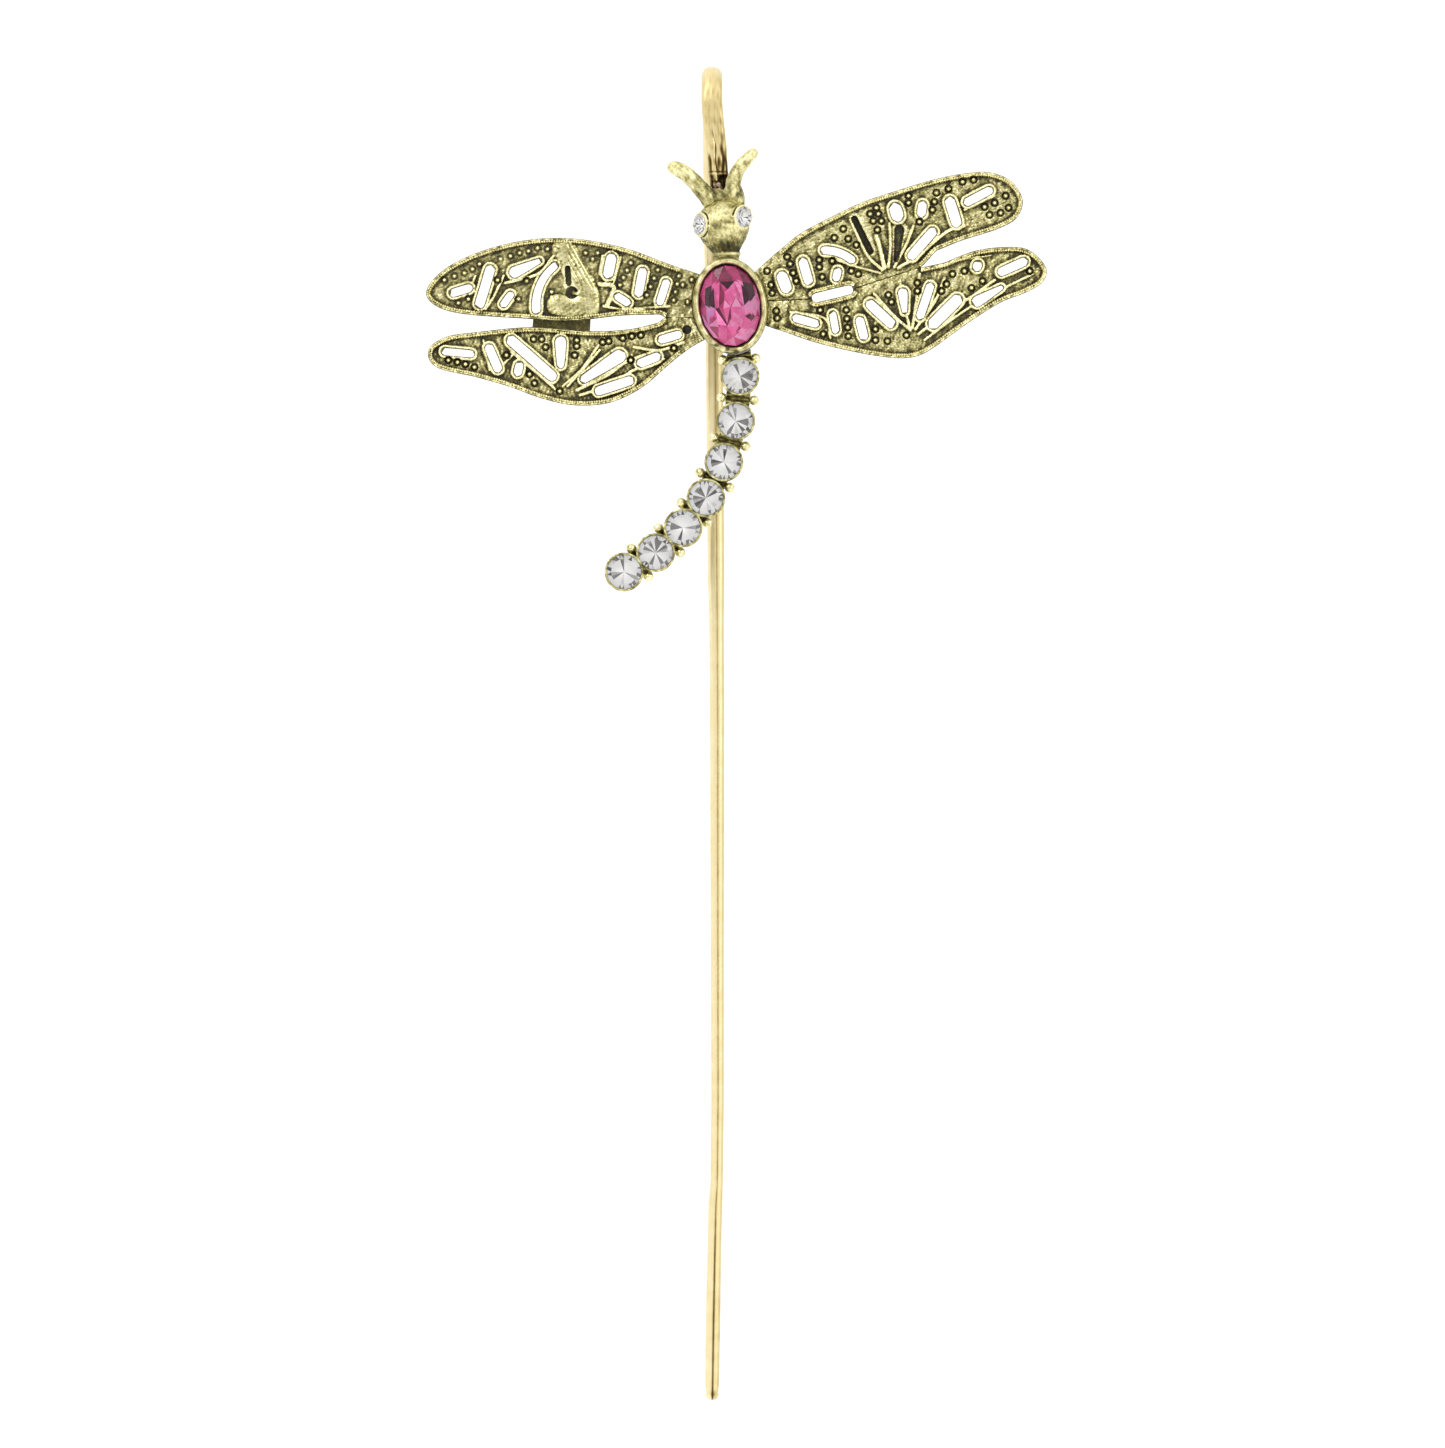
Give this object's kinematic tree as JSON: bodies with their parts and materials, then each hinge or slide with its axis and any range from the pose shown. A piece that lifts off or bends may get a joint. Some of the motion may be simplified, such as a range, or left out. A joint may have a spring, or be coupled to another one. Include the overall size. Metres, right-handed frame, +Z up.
{
  "type": "hat pin",
  "caption": "Long slim hook pin with a jewelled dragonfly: pierced filigree wings, an oval middle stone and a curved tail of round crystals.",
  "frame": {"origin": "on the flat back of the stem, on the stem's middle line, 30 mm below the middle stone", "axes": "+Z up along the stem towards the hook, +X to the right of someone facing the dragonfly, -Y from the stem towards the dragonfly and the viewer"},
  "size_m": [0.0619, 0.0111, 0.1336],
  "materials": {
    "polished_brass": "polished, pale gold",
    "antique_brass": "antiqued, satin high spots and dark recesses",
    "solder": "dull, heat stained",
    "clear_crystal": "faceted, foil backed",
    "pink_crystal": "faceted, foil backed",
    "cement": "matt"
  },
  "bodies": {
    "root": {"hook_bar": "polished_brass", "solder_joint": "solder", "centre_bezel": "antique_brass", "centre_stone": "pink_crystal", "centre_cement": "cement", "head": "antique_brass", "antennae": "antique_brass", "eye_crystal_left": "clear_crystal", "eye_cement_left": "cement", "eye_crystal_right": "clear_crystal", "eye_cement_right": "cement", "upper_left_wing": "antique_brass", "lower_left_wing": "antique_brass", "left_wing_strut": "antique_brass", "upper_right_wing": "antique_brass", "lower_right_wing": "antique_brass", "tail_setting": "antique_brass", "tail_crystal_1": "clear_crystal", "tail_crystal_2": "clear_crystal", "tail_crystal_3": "clear_crystal", "tail_crystal_4": "clear_crystal", "tail_crystal_5": "clear_crystal", "tail_crystal_6": "clear_crystal", "tail_crystal_7": "clear_crystal", "tail_cement_1": "cement", "tail_cement_2": "cement", "tail_cement_3": "cement", "tail_cement_4": "cement", "tail_cement_5": "cement", "tail_cement_6": "cement", "tail_cement_7": "cement"}
  },
  "joints": []
}
